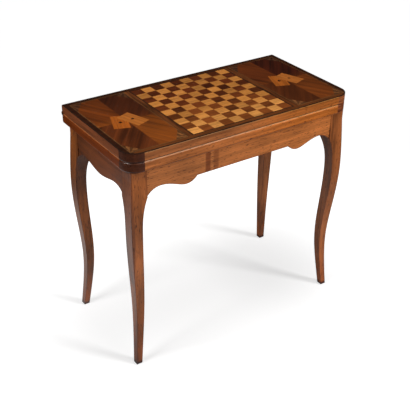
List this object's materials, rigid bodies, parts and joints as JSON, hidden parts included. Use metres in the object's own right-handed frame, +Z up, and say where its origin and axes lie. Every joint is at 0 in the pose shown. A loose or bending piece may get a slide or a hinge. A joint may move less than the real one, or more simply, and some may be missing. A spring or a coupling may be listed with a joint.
{
  "type": "folding game table",
  "caption": "Fold-over game table with a draughts board and inlaid aces on the closed top, cabriole legs, shaped rails and a gate leg that swings out under the opened baize leaf.",
  "frame": {"origin": "floor level, under the middle of the folded table's bounding box", "axes": "+X along the width to the right as seen from the front, +Y from the front to the hinged back edge, +Z up"},
  "size_m": [0.81, 0.4135, 0.75],
  "materials": {
    "leg_wood": "satin wax",
    "rail_wood": "satin wax",
    "secondary_wood": "unfinished",
    "leaf_wood": "satin wax",
    "lipping_wood": "satin wax",
    "corner_wood": "satin wax",
    "baize_cloth": "matt",
    "banding_wood": "polished",
    "line_wood": "polished",
    "divider_wood": "polished",
    "stringing_wood": "polished",
    "light_square_wood": "polished",
    "dark_square_wood": "polished",
    "light_panel_wood": "polished",
    "dark_panel_wood": "polished",
    "card_wood": "polished",
    "pip_wood": "polished",
    "ray_light_wood": "polished",
    "ray_dark_wood": "polished",
    "hinge_iron": "blackened",
    "screw_steel": "dull"
  },
  "bodies": {
    "frame": {"front_left_leg": "leg_wood", "front_right_leg": "leg_wood", "rear_right_leg": "leg_wood", "front_rail": "rail_wood", "left_rail": "rail_wood", "right_rail": "rail_wood", "back_rail": "secondary_wood", "knuckle_rail": "secondary_wood", "rail_screws": "screw_steel", "gate_pin": "hinge_iron", "top_blocks": "secondary_wood", "top_screws": "screw_steel", "lower_core": "leaf_wood", "lower_front_lipping": "lipping_wood", "lower_left_lipping": "lipping_wood", "lower_right_lipping": "lipping_wood", "lower_back_lipping": "lipping_wood", "lower_left_corner": "corner_wood", "lower_right_corner": "corner_wood", "lower_baize": "baize_cloth", "left_hinge_lower": "hinge_iron", "right_hinge_lower": "hinge_iron", "lower_hinge_screws": "screw_steel", "hinge_pins": "hinge_iron"},
    "gate": {"gate_leg": "leg_wood", "fly_rail": "secondary_wood"},
    "upper_leaf": {"upper_core": "leaf_wood", "upper_front_lipping": "lipping_wood", "upper_left_lipping": "lipping_wood", "upper_right_lipping": "lipping_wood", "upper_back_lipping": "lipping_wood", "upper_left_corner": "corner_wood", "upper_right_corner": "corner_wood", "upper_baize": "baize_cloth", "edge_line": "line_wood", "outer_banding": "banding_wood", "board_frame": "line_wood", "board_light_squares": "light_square_wood", "board_dark_squares": "dark_square_wood", "divider_bands": "divider_wood", "panel_stringing": "stringing_wood", "left_panel_light": "light_panel_wood", "left_panel_dark": "dark_panel_wood", "right_panel_light": "light_panel_wood", "right_panel_dark": "dark_panel_wood", "left_card_under": "card_wood", "left_card_over": "card_wood", "right_card_under": "card_wood", "right_card_over": "card_wood", "card_pips": "pip_wood", "corner_rays_light": "ray_light_wood", "corner_rays_dark": "ray_dark_wood", "left_hinge_upper": "hinge_iron", "right_hinge_upper": "hinge_iron", "upper_hinge_screws": "screw_steel"}
  },
  "joints": [
    {"name": "leaf_fold", "type": "hinge", "parent": "frame", "child": "upper_leaf", "pos_m": [0, 0.2005, 0.72], "axis": [-1, 0, 0], "range_deg": [0, 180]},
    {"name": "gate_swing", "type": "hinge", "parent": "frame", "child": "gate", "pos_m": [0, 0.14225, 0.65], "axis": [0, 0, -1], "range_deg": [0, 90]}
  ]
}
